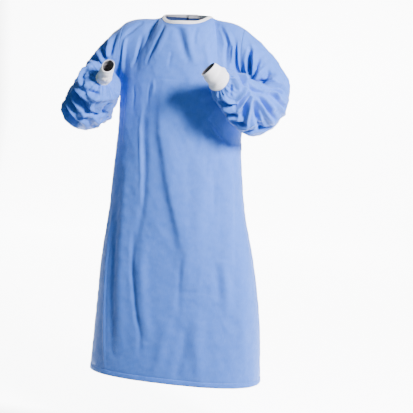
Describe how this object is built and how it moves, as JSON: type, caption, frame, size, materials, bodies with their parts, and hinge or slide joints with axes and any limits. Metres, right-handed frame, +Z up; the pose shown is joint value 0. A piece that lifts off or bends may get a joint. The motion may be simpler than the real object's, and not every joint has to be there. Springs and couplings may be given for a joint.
{
  "type": "surgical gown",
  "caption": "Long-sleeved surgical gown of light blue nonwoven with white knitted cuffs and neck binding, worn open at the hem and tied at the back.",
  "frame": {"origin": "between the two side points of the neck, on the shoulder line where the wearer carries the gown", "axes": "+Z up along the gown's length, -Y out of the front, +X towards the wearer's left"},
  "size_m": [0.7608, 0.3909, 1.2409],
  "materials": {
    "blue_nonwoven": "matte spunbond nonwoven with a soft sheen",
    "white_knit": "matte ribbed knit",
    "white_binding": "matte folded binding tape"
  },
  "bodies": {
    "root": {"front": "blue_nonwoven", "back_left": "blue_nonwoven", "back_right": "blue_nonwoven", "sleeve_left": "blue_nonwoven", "sleeve_right": "blue_nonwoven", "cuff_left": "white_knit", "cuff_right": "white_knit", "neck_binding": "white_binding", "tie_left": "blue_nonwoven", "tie_right": "blue_nonwoven", "tie_knot": "blue_nonwoven", "tie_end_left": "blue_nonwoven", "tie_end_right": "blue_nonwoven"}
  },
  "joints": []
}
